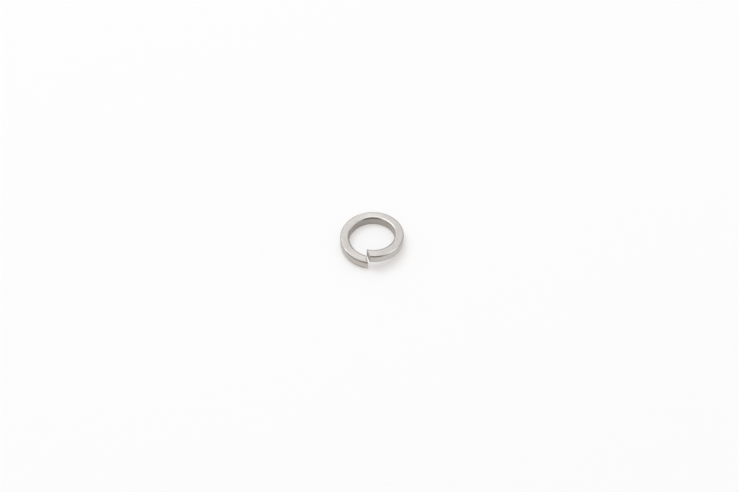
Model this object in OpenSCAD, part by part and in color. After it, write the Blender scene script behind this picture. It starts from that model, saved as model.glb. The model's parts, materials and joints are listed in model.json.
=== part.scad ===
// Spring lock washer: one turn of keystone bar, coiled left-handed and cut through.
// Z runs along the bore. The origin is on the bore's axis, level with the washer's
// lowest point, and the split faces -Y.

/* [Bore] */
// Diameter of the bore, which clears the bolt
bore_d = 12.3; // [6:0.1:40]

/* [Bar] */
// Width of the bar, from the bore's wall to the outer wall
bar_w = 2.4; // [1.2:0.05:6]
// Thickness of the bar along the axis, at the middle of its width
bar_t = 2.65; // [1.2:0.05:5]
// Extra thickness at the bore's wall over that at the outer wall
keystone = 0.2; // [0:0.01:0.4]
// Radius of the bar's four long edges
edge_r = 0.28; // [0.1:0.01:0.5]

/* [Coil] */
// Height of the relaxed washer, at the middle of the bar's width
free_h = 5.35; // [3:0.05:9]

/* [Split] */
// Gap between the two cut ends at the bore's wall
split_in = 0.1; // [0.05:0.05:2]
// Gap between the two cut ends at the outer wall
split_out = 0.55; // [0.1:0.05:3]
// Angle between the split's middle line and a true radius, seen along the axis
split_skew = 23.5; // [0:0.5:40]

/* [Smoothness] */
// Stations along the turn
turn_steps = 120; // [60:1:150]
// Segments in each rounded edge
edge_steps = 4; // [3:1:5]

/* [Hidden] */

bore_r = bore_d / 2;
outer_r = bore_r + bar_w;
mid_r = bore_r + bar_w / 2;

// What the cutters run past the bar at each end
past = 1;

// The split's middle line passes the axis at this distance
split_offset = mid_r * sin(split_skew);

// Where the middle line crosses radius r, along the line from its point nearest the axis
function along_split(r) = sqrt(pow(r, 2) - pow(split_offset, 2));

// The split opens evenly from the bore's wall to the outer wall
split_flare = (split_out - split_in) / (along_split(outer_r) - along_split(bore_r));
function split_width(along) = split_in + split_flare * (along - along_split(bore_r));

// Angle round the axis, at radius r, that a gap of some width takes up
function gap_angle(r, width) = 2 * asin(width / 2 / along_split(r));

// The bar is coiled into the split until its ends are half of the narrow gap apart, and
// the split's cutter trims both
end_angle = gap_angle(mid_r, split_in / 2);
coil_angle = 360 - end_angle;
first_angle = end_angle / 2 - 90;

// How far the coil has turned, at radius r, when it leaves the cutter
function cut_turn(r) = (gap_angle(r, split_width(along_split(r))) - end_angle) / 2;

// How far the upper cut end stands above the lower one
rise = free_h - bar_t;

// Each broad face falls by half the keystone over the bar's width
taper = keystone / 2 / bar_w;
taper_angle = atan(taper);

// The coiled bar stands this far past both walls, half of the last step of a rounded
// edge, and the wall cylinders trim it
trim = edge_r * (1 - cos(90 / edge_steps)) / 2;
inner_corner_r = bore_r - trim + edge_r;
outer_corner_r = outer_r + trim - edge_r;

// Height above the bar's middle of a rounded edge's centre at radius r
function corner_z(r) = bar_t / 2 - taper * (r - mid_r) - edge_r / cos(taper_angle);

// Points [radius, height] of a rounded edge centred at radius r, above or below the
// bar's middle as side is 1 or -1
function rounded_edge(r, side, from, to) = [
    for (i = [0 : edge_steps])
        let (a = from + (to - from) * i / edge_steps)
        [r + edge_r * cos(a), side * corner_z(r) + edge_r * sin(a)]
];

// Outline of the bar, counter-clockwise from the lower face's outer end
section = concat(
    rounded_edge(outer_corner_r, -1, taper_angle - 90, 0),
    rounded_edge(outer_corner_r, 1, 0, 90 - taper_angle),
    rounded_edge(inner_corner_r, 1, 90 - taper_angle, 180),
    rounded_edge(inner_corner_r, -1, 180, 270 + taper_angle)
);

// The stations lie along the split's middle line, so at radius r a station is this far
// round from its place at the middle of the bar
function skew_lead(r) = split_skew - asin(split_offset / r);

// Height of the bar's middle after the coil has turned through an angle. The rise is
// shared over the turn between the cut ends.
function coil_z(turned) =
    rise * (1 - (turned - cut_turn(mid_r)) / (coil_angle - 2 * cut_turn(mid_r)));

// A section point, carried round by an angle
function carried(p, turned) =
    let (lead = skew_lead(p[0]), at = first_angle + turned + lead)
    [p[0] * cos(at), p[0] * sin(at), p[1] + coil_z(turned + lead)];

// Heights of the highest and lowest points of the cut ends
high_z = max([for (p = section) carried(p, cut_turn(p[0]))[2]]);
low_z = min([for (p = section) carried(p, coil_angle - cut_turn(p[0]))[2]]);

// One turn of bar, from the upper end down to the lower one
module coiled_bar() {
    n = len(section);
    points = [
        for (i = [0 : turn_steps], p = section)
            carried(p, coil_angle * i / turn_steps)
    ];
    skin = [
        for (i = [0 : turn_steps - 1], j = [0 : n - 1])
            let (k = (j + 1) % n, a = i * n, b = a + n)
            each [[a + j, b + j, b + k], [a + j, b + k, a + k]]
    ];
    first_end = [for (j = [0 : n - 1]) j];
    last_end = [for (j = [n - 1 : -1 : 0]) turn_steps * n + j];
    polyhedron(points, concat(skin, [first_end, last_end]));
}

// The slot between the cut ends: a wedge along the axis, which runs a little way past
// the bore's wall and further past the outer wall
module split() {
    near = along_split(bore_r) - split_in;
    far = along_split(outer_r) + past;
    translate([0, 0, low_z - past])
        rotate(split_skew)
            translate([-split_offset, 0, 0])
                linear_extrude(height = high_z - low_z + 2 * past)
                    polygon([
                        [-split_width(far) / 2, -far],
                        [split_width(far) / 2, -far],
                        [split_width(near) / 2, -near],
                        [-split_width(near) / 2, -near]
                    ]);
}

// The room between the bore's wall and the outer wall
module between_walls() {
    height = high_z - low_z + 2 * past;
    translate([0, 0, low_z - past])
        difference() {
            cylinder(r = outer_r, h = height, $fn = 2 * turn_steps);
            translate([0, 0, -past])
                cylinder(r = bore_r, h = height + 2 * past, $fn = 2 * turn_steps);
        }
}

module lock_washer() {
    color("silver")
        translate([0, 0, -low_z])
            intersection() {
                difference() {
                    coiled_bar();
                    split();
                }
                between_walls();
            }
}

lock_washer();
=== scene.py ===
"""Looks of the spring lock washer: a drawn stainless bar with sheared ends, on a white floor."""
import json
import math

import bpy
import numpy as np
from mathutils import Matrix, Vector

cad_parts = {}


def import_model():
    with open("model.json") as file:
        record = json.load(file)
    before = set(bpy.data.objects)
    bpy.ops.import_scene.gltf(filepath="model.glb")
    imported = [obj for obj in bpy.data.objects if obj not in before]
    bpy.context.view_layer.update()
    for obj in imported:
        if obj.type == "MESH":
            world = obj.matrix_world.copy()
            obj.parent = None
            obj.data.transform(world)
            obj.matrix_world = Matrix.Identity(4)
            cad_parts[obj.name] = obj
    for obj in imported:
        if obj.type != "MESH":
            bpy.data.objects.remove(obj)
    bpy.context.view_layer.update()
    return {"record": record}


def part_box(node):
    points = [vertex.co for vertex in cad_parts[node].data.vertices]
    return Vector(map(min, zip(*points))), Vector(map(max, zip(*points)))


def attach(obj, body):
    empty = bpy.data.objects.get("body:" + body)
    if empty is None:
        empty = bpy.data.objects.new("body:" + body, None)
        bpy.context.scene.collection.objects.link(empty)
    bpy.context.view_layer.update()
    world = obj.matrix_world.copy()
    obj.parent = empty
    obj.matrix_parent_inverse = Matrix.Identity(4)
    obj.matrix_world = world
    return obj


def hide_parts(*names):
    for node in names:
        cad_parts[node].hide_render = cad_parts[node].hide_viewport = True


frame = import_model()

# Lengths in this file are millimetres, and MM turns them into Blender's metres
MM = 0.001
QUARTER = math.pi / 2

# The washer's sizes. The walls come from the frame, and the rest repeats the solid's own.
BORE_R = frame["record"]["mounts"][0]["dims"]["r_mm"]
OUTER_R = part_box("lock_washer")[1].x / MM
LOWEST_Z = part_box("lock_washer")[0].z / MM
MID_R = (BORE_R + OUTER_R) / 2
BAR_T = 2.65
KEYSTONE = 0.2
TAPER = KEYSTONE / 2 / (OUTER_R - BORE_R)
LEAN = math.atan(TAPER)
EDGE_R = 0.28
FREE_H = 5.35
SPLIT_IN = 0.1
SPLIT_OUT = 0.55
SPLIT_SKEW = math.radians(23.5)
SPLIT_OFFSET = MID_R * math.sin(SPLIT_SKEW)

# How finely the bar is modelled: along the turn, round each long edge, across each face,
# round the rim of each cut, and from that rim to the middle of the cut
TURN_STEPS = 640
EDGE_STEPS = 10
FACE_STEPS = 12
RIM_STEPS = 4
CUT_RINGS = 22

# The real bar's departures from its plain shape, all of them inwards. Waves are counted
# in radians to the millimetre along the bar, and in whole waves round its outline.
WAVE_DEPTH = 0.010
WAVE_COUNT = 18
WAVES_ALONG = (0.2, 1.6)
WAVES_ROUND = 3
DENT_COUNT = 34
DENT_DEPTH = 0.020
DENT_SHARE = (0.4, 1)
DENT_R = (0.12, 0.35)
DENT_STRETCH = (0.7, 1.8)
FACE_DENT_EVERY = 4
SHOULDER_DEPTH = 0.035
SHOULDER_WIDTH = 0.45

# The cuts: their rims round over more on the side that the blade entered, by a share. The
# steel is torn below a wandering line, whose waves have a height, radians to the
# millimetre and a start. The torn relief mixes waves of several lengths round a mean
# share of its depth, and a larger fade brings it in closer to the rim.
RIM_R = 0.045
RIM_LEAN = 0.4
BREAK_DEPTH = 0.045
BREAK_Z = 0.35
BREAK_BLUR = 0.06
BREAK_TONE_BLUR = 0.08
BREAK_WANDER = ((0.12, 2.3, 1), (0.05, 9, 0))
BREAK_WAVES = (3, 5, 8, 13, 21)
BREAK_REPEATS = 5
BREAK_MEAN = 0.6
BREAK_FADE = 4.8

# Five marks on the outline, from 0 to 1, by their columns: the middle of a long edge, the
# painted dark line on its side next to a wall, the painted highlight on its side next to a
# broad face, painted shade on the upper inner edge, and the painted dark line where it
# starts lower down
MARK_COUNT = 5
MIDDLE, EDGE_SHADE, EDGE_HIGHLIGHT, BORE_EDGE_SHADE, LOW = range(MARK_COUNT)

# The shares of facing outwards between which a mark comes or goes on the rounding of an
# edge, and how far each mark runs on along the flat beside it
EDGE_SHADE_FROM_OUTER = (0.0, 0.35)
EDGE_SHADE_FROM_INNER = (-0.15, 0.15)
LOW_FROM = (0.7, 0.95)
EDGE_HIGHLIGHT_TO = (0.45, 0.75)
EDGE_SHADE_WIDTH = 0.25
LOW_WIDTH = 0.40
EDGE_HIGHLIGHT_WIDTH = 0.50
BORE_EDGE_SHADE_WIDTH = 0.30

# Stretches of the turn: each begins and ends softly, between two pairs of angles round
# the bore. Along them a mark of painted shade or painted highlight, a wall's painted shade
# or a broad face's painted sheen is strongest.
EDGE_SHADE_OUTER = ((190, 285), (290, 318))
EDGE_SHADE_INNER = ((70, 85), (112, 128))
EDGE_SHADE_BELOW = ((225, 245), (265, 266))
LOW_OUTER = ((296, 312), (330, 350))
EDGE_HIGHLIGHT_OUTER = ((214, 224), (248, 265))
EDGE_HIGHLIGHT_FRONT = ((272, 280), (328, 340))
EDGE_HIGHLIGHT_INNER = ((20, 40), (118, 135))
BORE_EDGE_SHADE_INNER = ((150, 175), (340, 358))
GREY_OUTER = ((202, 234), (275, 300))
GREY_INNER = ((90, 110), (150, 170))
SHEEN_BACK = ((66, 88), (104, 134))
SHEEN_FRONT = ((219, 236), (278, 306))

# What is left beyond the stretches, and the most that three of them reach
EDGE_SHADE_LEFT = 0.22
EDGE_SHADE_BELOW_LEFT = 0.15
EDGE_HIGHLIGHT_LEFT = 0.1
GREY_OUTER_LEFT = 0.15
GREY_INNER_LEFT = 0.9
EDGE_SHADE_OUTER_MOST = 0.92
EDGE_HIGHLIGHT_FRONT_MOST = 0.6
BORE_EDGE_SHADE_MOST = 0.5

# A wall's painted shade fades out between these depths below the wall
WALL_NEAR = 0.02
WALL_FAR = 0.16

# The steel's colours
PALE_STEEL = (0.652, 0.620, 0.592)
PALER_STEEL = (0.706, 0.673, 0.645)
LINE_TONE = (0.54, 0.515, 0.492)
MOTTLE_TONE = (0.48, 0.455, 0.435)
PIT_TONE = (0.40, 0.37, 0.34)
# Painted sheen on stretches of the broad faces
SHEEN_TONE = (0.82, 0.79, 0.764)
# Painted shade on the walls, darkest on the bore's wall
OUTER_WALL_TONE = (0.485, 0.432, 0.385)
BORE_WALL_TONE = (0.37, 0.341, 0.318)
# A painted highlight beside the edges
PAINTED_HIGHLIGHT_TONE = (0.82, 0.79, 0.76)
# Painted shade: the dark lines along the edges, where dark surroundings would reflect
PAINTED_SHADE_TONE = (0.16, 0.14, 0.12)
SHEARED_TONE = (0.60, 0.565, 0.536)
TORN_TONE = (0.52, 0.49, 0.464)
TORN_PIT_TONE = (0.30, 0.28, 0.26)

# Nearly all of a noise's values lie between these
NOISE_SPAN = (0.3, 0.7)

# The photograph's view of the washer, and the width that it takes in
VIEW_AZIMUTH = 7.8
VIEW_ELEVATION = 49.8
VIEW_ROLL = 1.2
VIEW_WIDTH = 199.7
VIEW_AIM = Vector((-0.69, -0.43, -0.15))
VIEW_CLIP = (10, 10000)
LENS = 100
SENSOR = 36

# The washer rests on the corner of its lower end and on the far side of its coil, so in
# its own frame the floor climbs by these shares towards +X and +Y
FLOOR_SLOPE = (0.0629, 0.0931)
FLOOR_R = 1500
FLOOR_STEPS = 96
FLOOR_TONE = (0.93, 0.93, 0.93)
FLOOR_GLOW = 0.45
FIBRE_DEPTH = 0.01
FIBRE_SHADE = 0.995
TABLE_TONE = (1.0, 0.965, 0.915)

# The light that the room gives, and the tone that it shows
ROOM_FILL = 0.50
ROOM_SEEN = 0.98


def eased(value, low, high):
    """0 below one value, 1 above the other, and a smooth climb between them."""
    share = np.clip((value - low) / (high - low), 0, 1)
    return share * share * (3 - 2 * share)


def rounded_edge(r, side, start, end):
    """The points, normals and marks of a rounded edge that is centred at radius r, above
    or below the bar's middle as side is 1 or -1."""
    z = side * (BAR_T / 2 - TAPER * (r - MID_R) - EDGE_R / math.cos(LEAN))
    angle = np.linspace(start, end, EDGE_STEPS + 1)
    normals = np.stack((np.cos(angle), np.sin(angle)), -1)
    facing_out = np.abs(normals[:, 0])
    inner = r < MID_R
    # The marks: the middle of the edge, its painted dark line, its painted highlight, painted
    # shade on the upper inner edge, and the painted dark line that starts lower down
    marks = np.stack((
        np.sin(np.linspace(0, math.pi, EDGE_STEPS + 1)),
        eased(facing_out, *(EDGE_SHADE_FROM_INNER if inner else EDGE_SHADE_FROM_OUTER)),
        1 - eased(facing_out, *EDGE_HIGHLIGHT_TO),
        np.full(EDGE_STEPS + 1, side == 1 and inner),
        eased(facing_out, *LOW_FROM)), -1)
    # The rolled shoulder of the broad face runs out smoothly round the edge
    turned = np.arcsin(np.minimum(facing_out, 1)) / QUARTER
    steep = 2 * SHOULDER_DEPTH / SHOULDER_WIDTH * EDGE_R * QUARTER
    inset = (SHOULDER_DEPTH * (2 * turned**3 - 3 * turned**2 + 1)
             + steep * (turned**3 - 2 * turned**2 + turned))
    return np.array((r, z)) + (EDGE_R - inset)[:, None] * normals, normals, marks


def flat_after(edge, following):
    """The points, normals and marks of the flat between a rounded edge and the one that
    follows it. Its points are closest at its ends."""
    start, end = edge[0][-1], following[0][0]
    normal = edge[1][-1]
    share = (1 - np.cos(np.linspace(0, math.pi, FACE_STEPS + 1)[1:-1])) / 2
    away = np.minimum(share, 1 - share) * np.linalg.norm(end - start)
    points = start + (end - start) * share[:, None]
    marks = np.zeros((len(share), MARK_COUNT))
    is_wall = abs(normal[0]) > 0.5
    if is_wall:
        # A painted dark line runs on down the wall from the edge
        marks[:, EDGE_SHADE] = 1 - eased(away, 0, EDGE_SHADE_WIDTH)
        marks[:, LOW] = 1 - eased(away, 0, LOW_WIDTH)
    else:
        # A painted highlight runs on along the broad face from the edge, where the steel is also
        # smoother
        marks[:, EDGE_HIGHLIGHT] = 1 - eased(away, 0, EDGE_HIGHLIGHT_WIDTH)
        # The face meets both edges at the depth of the shoulder, and climbs out of it
        rolled = SHOULDER_DEPTH * np.clip(1 - away / SHOULDER_WIDTH, 0, 1)**2
        points = points - np.outer(rolled - SHOULDER_DEPTH, normal)
    is_top = normal[1] > 0.5
    if is_top:
        # Painted shade runs on along the top face from the bore's edge
        to_bore = np.linalg.norm(end - points, axis=1)
        marks[:, BORE_EDGE_SHADE] = 1 - eased(to_bore, 0, BORE_EDGE_SHADE_WIDTH)
    return points, np.tile(normal, (len(share), 1)), marks


def section():
    """The bar's outline, counter-clockwise from the lower face's outer end: its points as
    radius and height above the bar's middle, its normals, and its marks."""
    edges = [
        rounded_edge(OUTER_R - EDGE_R, -1, LEAN - QUARTER, 0),
        rounded_edge(OUTER_R - EDGE_R, 1, 0, QUARTER - LEAN),
        rounded_edge(BORE_R + EDGE_R, 1, QUARTER - LEAN, math.pi),
        rounded_edge(BORE_R + EDGE_R, -1, math.pi, 3 * QUARTER + LEAN),
    ]
    parts = []
    for edge, following in zip(edges, edges[1:] + edges[:1]):
        parts += [edge, flat_after(edge, following)]
    return [np.concatenate(column) for column in zip(*parts)]


def along_split(r):
    """Where the split's middle line crosses radius r, along the line from its point
    nearest the bore's axis."""
    return math.sqrt(r**2 - SPLIT_OFFSET**2)


def cut_angle(r, side):
    """The angle round the bore at which a face of the split crosses radius r. Both faces
    turn away from the middle line, so that the split opens outwards."""
    near, far = along_split(BORE_R), along_split(OUTER_R)
    opening = (SPLIT_OUT - SPLIT_IN) / 2 / (far - near)
    flare = math.atan(opening)
    reach = (side * (SPLIT_IN / 2 - opening * near) - SPLIT_OFFSET) * math.cos(flare)
    return SPLIT_SKEW + side * flare - np.arccos(reach / r)


def bar_angle(r, share, along):
    """The angle round the bore of a point at a share of the turn, from the upper cut to
    the lower one, moved along the bar by a distance."""
    first = cut_angle(r, 1)
    last = cut_angle(r, -1) + 2 * math.pi
    return first + (last - first) * share + along / MID_R


def coiled(r, z, angle):
    """Section points, carried to an angle round the bore."""
    first, last = cut_angle(MID_R, 1), cut_angle(MID_R, -1) + 2 * math.pi
    turned = (angle - first) / (last - first)
    return np.stack((
        r * np.cos(angle), r * np.sin(angle), z + (FREE_H - BAR_T) * (1 - turned)), -1)


def stretch(angle, span, elsewhere=0):
    """1 along a stretch of the turn, and a smaller share beyond it."""
    turned = np.degrees(angle) % 360
    along = eased(turned, *span[0]) * (1 - eased(turned, *span[1]))
    return elsewhere + (1 - elsewhere) * along


def skin_edge_shade(angle, outer, upper, marks):
    """How much painted shade the skin has along its edges at each angle round the bore."""
    above = np.where(outer, EDGE_SHADE_OUTER_MOST * stretch(angle, EDGE_SHADE_OUTER, EDGE_SHADE_LEFT),
                     stretch(angle, EDGE_SHADE_INNER, EDGE_SHADE_LEFT))
    below = np.where(outer, stretch(angle, EDGE_SHADE_BELOW, EDGE_SHADE_BELOW_LEFT), EDGE_SHADE_BELOW_LEFT)
    low = np.where(outer & upper, stretch(angle, LOW_OUTER), 0)
    mark = marks[:, EDGE_SHADE] * (1 - low) + marks[:, LOW] * low
    return mark * np.where(upper, above, below)


def skin_tone(angle, r):
    """How much painted shade a wall has, or how much painted sheen a broad face has, at each
    angle round the bore.
    """
    grey = np.where(r > MID_R, stretch(angle, GREY_OUTER, GREY_OUTER_LEFT),
                    stretch(angle, GREY_INNER, GREY_INNER_LEFT))
    face_sheen = np.maximum(stretch(angle, SHEEN_BACK), stretch(angle, SHEEN_FRONT))
    on_face = (r > BORE_R + WALL_FAR) & (r < OUTER_R - WALL_FAR)
    return np.where(on_face, face_sheen, grey)


def skin_marks(angle, r, z, marks):
    """The skin's painted shade and painted highlight, and the painted shade of its walls with the
    painted sheen of its broad faces.
    """
    outer = r > MID_R
    edge_shade = skin_edge_shade(angle, outer, z > 0, marks)
    # A painted highlight beside the front of the outer upper edge, kept off its painted dark line
    front = EDGE_HIGHLIGHT_FRONT_MOST * stretch(angle, EDGE_HIGHLIGHT_FRONT) * (1 - edge_shade)
    edge_highlight = marks[:, EDGE_HIGHLIGHT] * np.where(
        outer, np.maximum(stretch(angle, EDGE_HIGHLIGHT_OUTER, EDGE_HIGHLIGHT_LEFT), front),
        stretch(angle, EDGE_HIGHLIGHT_INNER, EDGE_HIGHLIGHT_LEFT))
    # Painted shade on the upper inner edge, which also takes the painted highlight away there
    bore_edge_shade = marks[:, BORE_EDGE_SHADE] * stretch(angle, BORE_EDGE_SHADE_INNER)
    return np.stack((np.maximum(edge_shade, BORE_EDGE_SHADE_MOST * bore_edge_shade), edge_highlight * (1 - bore_edge_shade),
                     skin_tone(angle, r)), -1)


def way_round(points):
    """How far round the outline each of its points is, as an angle."""
    steps = np.linalg.norm(np.roll(points, -1, 0) - points, axis=1)
    return 2 * math.pi * np.concatenate(((0,), np.cumsum(steps)[:-1])) / steps.sum()


def relief(angle, turn_round, marks):
    """How far the skin lies inside its plain shape: long soft waves from drawing and
    coiling, and small dents from tumbling, most of them on the edges."""
    rng = np.random.default_rng(7)
    along = angle * MID_R
    waves = np.zeros_like(along)
    for _ in range(WAVE_COUNT):
        waves += np.cos(along * rng.uniform(*WAVES_ALONG)
                        + turn_round * rng.integers(-WAVES_ROUND, WAVES_ROUND + 1)
                        + rng.uniform(0, 2 * math.pi))
    waves = WAVE_DEPTH * (0.5 + 0.5 * waves / np.abs(waves).max())
    edge_places = np.flatnonzero(marks[:, MIDDLE] > 0.5)
    # The length of the outline is spread over one turn of turn_round
    length = 2 * (OUTER_R - BORE_R + BAR_T)
    dents = np.zeros_like(along)
    for k in range(DENT_COUNT):
        on_edge = k % FACE_DENT_EVERY != 0
        place = rng.choice(edge_places) if on_edge else rng.integers(len(marks))
        centre = rng.uniform(along.min() + 1, along.max() - 1)
        radius = rng.uniform(*DENT_R)
        swing = np.angle(np.exp(1j * (turn_round - turn_round[place])))
        across = swing * length / (2 * math.pi)
        away = ((along - centre) / rng.uniform(*DENT_STRETCH)) ** 2 + across ** 2
        dents += DENT_DEPTH * rng.uniform(*DENT_SHARE) * np.exp(-away / radius ** 2)
    return waves + dents


def break_relief(r, z):
    """How far a sheared face lies inside the cut's plane: flat where the blade passed,
    and rough where the steel then broke away."""
    rng = np.random.default_rng(23)
    rough = np.zeros_like(r)
    for waves in BREAK_WAVES:
        for _ in range(BREAK_REPEATS):
            turn = rng.uniform(0, 2 * math.pi)
            rough += np.cos(waves * (r * math.cos(turn) + z * math.sin(turn))
                            + rng.uniform(0, 2 * math.pi)) / waves ** 0.5
    rough = BREAK_MEAN + (1 - BREAK_MEAN) * rough / np.abs(rough).max()
    line = BREAK_Z
    for height, waves, start in BREAK_WANDER:
        line = line + height * np.sin(waves * r + start)
    broken = 1 / (1 + np.exp((z - line) / BREAK_BLUR))
    return BREAK_DEPTH * rough * broken


def skin_rows(normals):
    """The rows of the skin, from the upper cut to the lower one. Each has its share of
    the turn, how far it is moved along the bar, and how far it lies inside the outline."""
    rim = RIM_R * (1 + RIM_LEAN * normals[:, 1])
    turns = np.linspace(0, QUARTER, RIM_STEPS + 1)
    # The plain rows keep this share of the turn away from the cuts, clear of the rims
    margin = 2 * RIM_R / (2 * math.pi * MID_R)
    rows = [(0, rim * (1 - np.cos(a)), rim * (1 - np.sin(a))) for a in turns]
    rows += [(share, 0, 0) for share in np.linspace(margin, 1 - margin, TURN_STEPS)]
    rows += [(1, -rim * (1 - np.cos(a)), rim * (1 - np.sin(a))) for a in turns[::-1]]
    return rows


def skin():
    """The bar's skin, as a grid with a row for each station and a column for each point
    of the outline: angles round the bore, radii, heights and marks."""
    points, normals, marks = section()
    r, z = points.T
    rows = skin_rows(normals)
    angle = np.stack([bar_angle(r, share, along) for share, along, _ in rows])
    inset = np.stack([np.zeros(len(points)) + depth for _, _, depth in rows])
    depth = inset + relief(angle, way_round(points), marks)
    return (angle, r - depth * normals[:, 0], z - depth * normals[:, 1],
            skin_marks(angle, r, z, marks))


def cut_rings(rim_r, rim_z, side):
    """A sheared face, in rings from its rim to one point in the middle: for each ring,
    angles round the bore, radii, heights and empty marks."""
    middle = np.array((MID_R, 0.0))
    rim = np.stack((rim_r, rim_z), -1)
    rings = []
    for ring in range(1, CUT_RINGS + 1):
        size = 1 - ring / CUT_RINGS
        points = middle[None] if ring == CUT_RINGS else middle + (rim - middle) * size
        r, z = points.T
        fade = min(1, BREAK_FADE * (1 - size))
        angle = bar_angle(r, (1 - side) / 2, side * fade * break_relief(r, z))
        rings.append((angle, r, z, np.zeros((len(r), 3))))
    return rings


def skin_faces(rows, count):
    """The four-sided faces between each row of the skin and the next."""
    return [
        (a + j, b + j, b + k, a + k)
        for a, b in ((i * count, (i + 1) * count) for i in range(rows - 1))
        for j, k in ((j, (j + 1) % count) for j in range(count))
    ]


def ring_faces(outer, inner, count, is_last, side):
    """The faces between a ring whose points are numbered from outer and the next one,
    numbered from inner, which is one point when it is the last."""
    faces = []
    for j in range(count):
        k = (j + 1) % count
        corners = [outer + j, outer + k]
        corners += [inner] if is_last else [inner + k, inner + j]
        faces.append(tuple(corners[::side]))
    return faces


def washer_mesh():
    """The bar's skin and its two sheared faces, as one closed mesh."""
    angle, r, z, marks = skin()
    rows, count = angle.shape
    pieces = [(angle.ravel(), r.ravel(), z.ravel(), marks.reshape(-1, 3))]
    faces = skin_faces(rows, count)
    skin_face_count = len(faces)
    total = rows * count
    for row, side in ((0, 1), (rows - 1, -1)):
        outer = row * count
        for ring in cut_rings(r[row], z[row], side):
            size = len(ring[0])
            faces += ring_faces(outer, total, count, size == 1, side)
            pieces.append(ring)
            outer = total
            total += size
    angle, r, z, marks = (np.concatenate(column) for column in zip(*pieces))
    where = coiled(r, z, angle)
    where[:, 2] += LOWEST_Z - where[:, 2].min()

    mesh = bpy.data.meshes.new("washer_bar")
    mesh.from_pydata((where * MM).tolist(), [], faces)
    # The steel's shaders read each point's place in the straight bar, and its marks of painted
    # shade, painted highlight and painted sheen
    for name, values in (("bar", np.stack((angle * MID_R, r, z), -1)), ("edge", marks)):
        mesh.attributes.new(name, "FLOAT_VECTOR", "POINT").data.foreach_set(
            "vector", values.astype(np.float32).ravel())
    mesh.polygons.foreach_set("use_smooth", np.ones(len(faces), bool))
    slots = np.zeros(len(faces), np.int32)
    slots[skin_face_count:] = 1
    mesh.polygons.foreach_set("material_index", slots)
    mesh.update()
    return mesh


class Nodes:
    """The node tree of a material or a world, with one short call for each node."""

    def __init__(self, owner):
        self.owner = owner
        self.owner.use_nodes = True
        self.tree = owner.node_tree
        self.tree.nodes.clear()

    def add(self, kind, inputs=None, **settings):
        """Adds a node. An input is a plain value, or another node's output."""
        node = self.tree.nodes.new("ShaderNode" + kind)
        for name, value in settings.items():
            setattr(node, name, value)
        for name, value in (inputs or {}).items():
            if isinstance(value, bpy.types.NodeSocket):
                self.tree.links.new(value, node.inputs[name])
            else:
                node.inputs[name].default_value = value
        return node

    def attribute(self, name):
        """A value that the mesh holds at each of its points."""
        return self.add("Attribute", attribute_name=name).outputs["Vector"]

    def axes(self, vector):
        """A vector's three parts, by their names."""
        return self.add("SeparateXYZ", {"Vector": vector}).outputs

    def moved(self, vector, scale, turn=(0, 0, 0)):
        """Coordinates, scaled by a factor for each axis and then turned."""
        return self.add("Mapping", {"Vector": vector, "Rotation": turn, "Scale": scale}).outputs[0]

    def noise(self, vector, scale=1.0, detail=2.0, roughness=0.5):
        """Noise from 0 to 1."""
        node = self.add("TexNoise", {
            "Vector": vector, "Scale": scale, "Detail": detail, "Roughness": roughness})
        return node.outputs["Fac"]

    def remap(self, value, low, high, to_low, to_high):
        """A value's range, moved to another range and kept inside it."""
        node = self.add("MapRange", {
            "Value": value, "From Min": low, "From Max": high,
            "To Min": to_low, "To Max": to_high})
        return node.outputs["Result"]

    def spread(self, noise, low, high):
        """Noise, moved to a range."""
        return self.remap(noise, *NOISE_SPAN, low, high)

    def math(self, operation, a, b):
        """The result of one operation on two values."""
        return self.add("Math", {0: a, 1: b}, operation=operation).outputs[0]

    def blend(self, share, a, b):
        """A colour between a and b."""
        node = self.add("Mix", {"Factor": share}, data_type="RGBA")
        for index, colour in ((6, a), (7, b)):
            if isinstance(colour, bpy.types.NodeSocket):
                self.tree.links.new(colour, node.inputs[index])
            else:
                node.inputs[index].default_value = (*colour, 1)
        return node.outputs[2]

    def tint(self, tone, colour, mark, most):
        """A tone, moved towards a colour where there is a mark, by at most a share."""
        return self.blend(self.math("MULTIPLY", mark, most), tone, colour)

    def bump(self, height, strength, distance, normal=None):
        """A surface normal that follows a height."""
        inputs = {"Height": height, "Strength": strength, "Distance": distance * MM}
        if normal:
            inputs["Normal"] = normal
        return self.add("Bump", inputs).outputs[0]

    def finish(self, shader, output="OutputMaterial"):
        """Puts a shader on the surface, and returns the material or world."""
        out = self.add(output)
        self.tree.links.new(shader.outputs[0], out.inputs["Surface"])
        return self.owner


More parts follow.
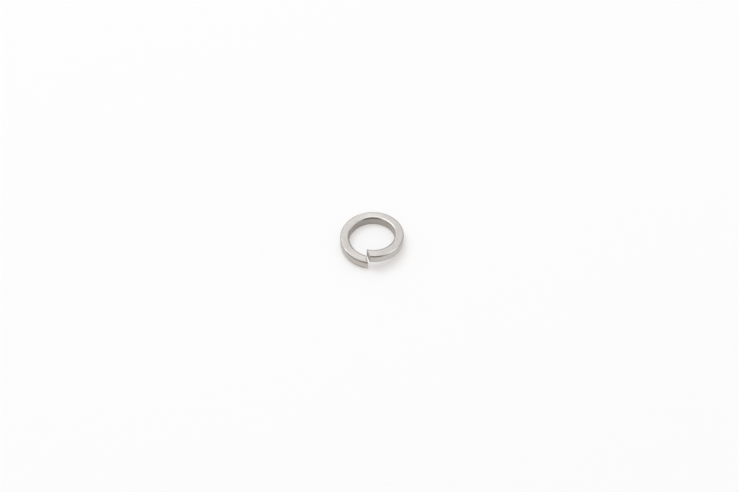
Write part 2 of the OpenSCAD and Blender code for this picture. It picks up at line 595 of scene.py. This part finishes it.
def steel_skin():
    """Bright drawn stainless steel, dulled a little by tumbling, with painted dark lines and
    painted highlights along its edges, painted shade on its walls and painted sheen on
    stretches of its broad faces.
    """
    n = Nodes(bpy.data.materials.new("washer_steel"))
    bar = n.attribute("bar")
    edge = n.axes(n.attribute("edge"))
    # Painted dark lines, painted highlights, and the walls' painted shade with the faces' painted
    # sheen
    edge_shade, edge_highlight, grey = edge["X"], edge["Y"], edge["Z"]
    radius = n.axes(bar)["Y"]
    at_bore = n.remap(radius, BORE_R + WALL_NEAR, BORE_R + WALL_FAR, 1.0, 0.0)
    at_outer = n.remap(radius, OUTER_R - WALL_FAR, OUTER_R - WALL_NEAR, 0.0, 1.0)
    on_face = n.math("SUBTRACT", n.math("SUBTRACT", 1.0, at_bore), at_outer)

    # Lines of the drawing die run the whole length of the bar
    lines = n.noise(n.moved(bar, (0.06, 7.0, 7.0)), detail=4.0, roughness=0.65)
    fine_lines = n.noise(n.moved(bar, (0.35, 26.0, 26.0)), detail=3.0, roughness=0.6)
    grain = n.noise(bar, scale=16.0, detail=4.0, roughness=0.65)
    mottle = n.noise(n.moved(bar, (1.3, 2.6, 2.6)), detail=3.0, roughness=0.6)
    clouds = n.noise(bar, scale=0.55, detail=3.0, roughness=0.55)
    # Handling leaves short thin scratches, slanted across the lines
    slanted = n.moved(bar, (1.0, 1.0, 1.0), turn=(0.3, 0.5, 0.9))
    handling = n.noise(n.moved(slanted, (0.7, 22.0, 22.0)), detail=1.0, roughness=0.4)
    scratches = n.remap(handling, 0.70, 0.76, 0.0, 1.0)
    pits = n.remap(n.noise(bar, scale=7.0), 0.25, 0.31, 1.0, 0.0)

    tone = n.blend(clouds, PALE_STEEL, PALER_STEEL)
    tone = n.blend(n.remap(lines, 0.35, 0.65, 0.0, 0.7), tone, LINE_TONE)
    tone = n.blend(n.spread(mottle, 0.0, 0.65), tone, MOTTLE_TONE)
    tone = n.tint(tone, PIT_TONE, pits, most=0.5)
    # Painted sheen on stretches of the broad faces, and painted shade on the walls, darkest in the
    # bore
    tone = n.tint(tone, SHEEN_TONE, n.math("MULTIPLY", grey, on_face), most=0.34)
    tone = n.tint(tone, OUTER_WALL_TONE, n.math("MULTIPLY", grey, at_outer), most=0.45)
    tone = n.tint(tone, BORE_WALL_TONE, n.math("MULTIPLY", grey, at_bore), most=1.0)
    # A painted highlight beside the edges, where the steel is also a little smoother
    tone = n.tint(tone, PAINTED_HIGHLIGHT_TONE, edge_highlight, most=0.75)
    # Painted dark lines along the edges
    tone = n.tint(tone, PAINTED_SHADE_TONE, edge_shade, most=0.92)

    rough = n.math("ADD", n.spread(clouds, 0.27, 0.34), n.spread(grain, -0.03, 0.04))
    rough = n.math("SUBTRACT", rough, n.math("MULTIPLY", edge_highlight, 0.16))
    rough = n.math("ADD", rough, n.math("MULTIPLY", pits, 0.15))

    height = n.math("ADD", lines, n.math("MULTIPLY", fine_lines, 0.5))
    normal = n.bump(height, strength=0.5, distance=0.010)
    normal = n.bump(mottle, strength=0.5, distance=0.010, normal=normal)
    normal = n.bump(grain, strength=0.35, distance=0.004, normal=normal)
    unscratched = n.math("SUBTRACT", 1.0, scratches)
    normal = n.bump(unscratched, strength=0.4, distance=0.004, normal=normal)
    tangent = n.add("Tangent", direction_type="RADIAL", axis="Z").outputs[0]
    return n.finish(n.add("BsdfPrincipled", {
        "Base Color": tone, "Metallic": 1.0, "Roughness": rough, "Normal": normal,
        "Anisotropic": 0.25, "Anisotropic Rotation": 0.25, "Tangent": tangent}))


def steel_cut():
    """A sheared end: scored by the blade on top, and grey and torn below."""
    n = Nodes(bpy.data.materials.new("washer_cut"))
    bar = n.attribute("bar")
    wander = n.spread(n.noise(n.moved(bar, (0.0, 3.0, 0.0))), -0.15, 0.15)
    height_up = n.math("SUBTRACT", n.axes(bar)["Z"], wander)
    broken = n.remap(
        height_up, BREAK_Z - BREAK_TONE_BLUR, BREAK_Z + BREAK_TONE_BLUR, 1.0, 0.0)
    score = n.noise(n.moved(bar, (1.0, 16.0, 0.7)), detail=3.0, roughness=0.6)
    torn = n.noise(bar, scale=11.0, detail=5.0, roughness=0.7)
    tone = n.blend(broken, SHEARED_TONE, TORN_TONE)
    tone = n.blend(n.spread(torn, 0.0, 0.35), tone, TORN_PIT_TONE)
    rough = n.math("ADD", n.math("MULTIPLY", broken, 0.18), n.spread(score, 0.30, 0.40))
    normal = n.bump(score, strength=0.6, distance=0.012)
    torn_height = n.math("MULTIPLY", torn, broken)
    normal = n.bump(torn_height, strength=0.9, distance=0.045, normal=normal)
    return n.finish(n.add("BsdfPrincipled", {
        "Base Color": tone, "Metallic": 1.0, "Roughness": rough, "Normal": normal}))


def washer():
    """The washer, in place of its plain solid."""
    bar = bpy.data.objects.new("washer_bar", washer_mesh())
    bpy.context.scene.collection.objects.link(bar)
    bar.data.materials.append(steel_skin())
    bar.data.materials.append(steel_cut())
    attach(bar, "root")
    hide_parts("lock_washer")
    return bar


def floor_height(bar):
    """Where the floor stands on the bore's axis, so that it touches the washer."""
    co = np.array([v.co for v in bar.data.vertices]) / MM
    return float((co[:, 2] - co[:, 0] * FLOOR_SLOPE[0] - co[:, 1] * FLOOR_SLOPE[1]).min())


def floor_frame(height):
    """The floor's own frame: its z axis is the floor's upward normal."""
    up = Vector((-FLOOR_SLOPE[0], -FLOOR_SLOPE[1], 1)).normalized()
    across = Vector((0, 1, 0)).cross(up).normalized()
    turn = Matrix((across, up.cross(across), up)).transposed().to_4x4()
    return Matrix.Translation(Vector((0, 0, height)) * MM) @ turn


def seen_rays(n):
    """1 for the rays that show a thing to the camera or in the steel, 0 for its light."""
    path = n.add("LightPath")
    mirrored = n.math("MAXIMUM", path.outputs["Is Glossy Ray"],
                      path.outputs["Is Transmission Ray"])
    return n.math("MAXIMUM", path.outputs["Is Camera Ray"], mirrored)


def floor_paint():
    """A white light table under matt paper. It shows part of its own glow, and it lets
    the camera look up through it from below."""
    n = Nodes(bpy.data.materials.new("white_paper"))
    place = n.add("TexCoord").outputs["Object"]
    fibre = n.noise(place, scale=900.0, detail=4.0, roughness=0.6)
    tone = n.blend(fibre, FLOOR_TONE, tuple(FIBRE_SHADE * c for c in FLOOR_TONE))
    paper = n.add("BsdfPrincipled", {
        "Base Color": tone, "Roughness": 0.55, "Specular IOR Level": 0.25,
        "Normal": n.bump(fibre, strength=0.15, distance=FIBRE_DEPTH)})
    table = n.add("Emission", {"Color": (*TABLE_TONE, 1), "Strength": ROOM_SEEN})
    lit = n.add("MixShader", {
        0: n.math("MULTIPLY", seen_rays(n), FLOOR_GLOW), 1: paper.outputs[0],
        2: table.outputs[0]})
    below = n.add("NewGeometry").outputs["Backfacing"]
    clear = n.add("BsdfTransparent")
    mix = n.add("MixShader", {0: below, 1: lit.outputs[0], 2: clear.outputs[0]})
    return n.finish(mix)


def flat_sheet(name, corners, material):
    """A flat sheet, as one face."""
    mesh = bpy.data.meshes.new(name)
    mesh.from_pydata(corners, [], [list(range(len(corners)))])
    mesh.materials.append(material)
    return bpy.data.objects.new(name, mesh)


def put_on_stage(sheet):
    """Shows a sheet in the scene."""
    bpy.context.scene.collection.objects.link(sheet)


def floor(height):
    """The round floor that the washer rests on."""
    ring = [(FLOOR_R * math.cos(a) * MM, FLOOR_R * math.sin(a) * MM, 0)
            for a in np.linspace(0, 2 * math.pi, FLOOR_STEPS, endpoint=False)]
    disc = flat_sheet("floor", ring, floor_paint())
    disc.matrix_world = floor_frame(height)
    put_on_stage(disc)


def direction(azimuth, elevation):
    """The unit vector towards a place round the washer. Azimuth 0 is -Y, 90 is +X."""
    a, e = math.radians(azimuth), math.radians(elevation)
    return Vector((math.sin(a) * math.cos(e), -math.cos(a) * math.cos(e), math.sin(e)))


def aim_at_washer(thing, azimuth, elevation, distance):
    """Stands a lamp or a card somewhere round the washer, square to it."""
    thing.location = direction(azimuth, elevation) * distance * MM
    thing.rotation_euler = thing.location.to_track_quat("Z", "Y").to_euler()


def card(name, azimuth, elevation, size, distance, tone):
    """A card of the studio, dark or glowing, which only the steel's reflections show."""
    n = Nodes(bpy.data.materials.new(name))
    plain = n.finish(n.add("Emission", {"Color": (tone, tone, tone, 1), "Strength": 1.0}))
    half_w, half_h = size[0] / 2 * MM, size[1] / 2 * MM
    corners = [(-half_w, -half_h, 0), (half_w, -half_h, 0), (half_w, half_h, 0),
               (-half_w, half_h, 0)]
    sheet = flat_sheet(name, corners, plain)
    aim_at_washer(sheet, azimuth, elevation, distance)
    for ray in ("camera", "diffuse", "transmission", "volume_scatter", "shadow"):
        setattr(sheet, "visible_" + ray, False)
    put_on_stage(sheet)


def softbox(name, azimuth, elevation, size, distance, level, colour):
    """A large soft lamp that faces the washer, and that the steel doesn't reflect. At
    level 1 a white card under it that faces it looks white."""
    light = bpy.data.lights.new(name, "AREA")
    light.shape = "RECTANGLE"
    light.size, light.size_y = size[0] * MM, size[1] * MM
    light.energy = level * (math.pi * distance * MM) ** 2
    light.color = colour
    lamp = bpy.data.objects.new(name, light)
    aim_at_washer(lamp, azimuth, elevation, distance)
    lamp.visible_camera = False
    lamp.visible_glossy = False
    bpy.context.scene.collection.objects.link(lamp)


def world():
    """An even room, which gives less light than it shows."""
    n = Nodes(bpy.data.worlds.new("room"))
    level = n.remap(seen_rays(n), 0.0, 1.0, ROOM_FILL, ROOM_SEEN)
    room = n.add("Background", {"Color": (1, 1, 1, 1), "Strength": level})
    bpy.context.scene.world = n.finish(room, "OutputWorld")


def camera():
    """The photograph's view."""
    data = bpy.data.cameras.new("camera")
    data.lens, data.sensor_width = LENS, SENSOR
    data.clip_start, data.clip_end = VIEW_CLIP[0] * MM, VIEW_CLIP[1] * MM
    cam = bpy.data.objects.new("camera", data)
    back = direction(VIEW_AZIMUTH, VIEW_ELEVATION)
    turn = back.to_track_quat("Z", "Y").to_matrix().to_4x4()
    roll = Matrix.Rotation(math.radians(VIEW_ROLL), 4, "Z")
    distance = VIEW_WIDTH * LENS / SENSOR
    cam.matrix_world = Matrix.Translation((VIEW_AIM + back * distance) * MM) @ turn @ roll
    bpy.context.scene.collection.objects.link(cam)
    bpy.context.scene.camera = cam


washer_bar = washer()
floor(floor_height(washer_bar))
world()
softbox("ceiling", azimuth=-150, elevation=80, size=(1700, 1700), distance=1500,
        level=0.45, colour=(1.0, 1.015, 1.08))
softbox("key", azimuth=-115, elevation=68, size=(700, 1300), distance=2000,
        level=0.31, colour=(0.95, 1.005, 1.11))
card("key_glow", azimuth=-132, elevation=59, size=(200, 130), distance=1000, tone=3.15)
card("back_glow", azimuth=-166, elevation=48.5, size=(400, 140), distance=1000, tone=1.75)
card("right_glow", azimuth=116, elevation=53, size=(280, 240), distance=1000, tone=3.0)
card("back_card", azimuth=180, elevation=13, size=(2000, 240), distance=700, tone=0.55)
card("back_right_card", azimuth=140, elevation=22, size=(280, 280), distance=600, tone=0.25)
card("front_card", azimuth=14, elevation=17, size=(330, 200), distance=360, tone=0.30)
card("front_left_card", azimuth=-50, elevation=16, size=(420, 180), distance=400, tone=0.50)
card("right_card", azimuth=112, elevation=18, size=(320, 180), distance=400, tone=0.35)
camera()
bpy.context.scene.view_settings.view_transform = "Standard"
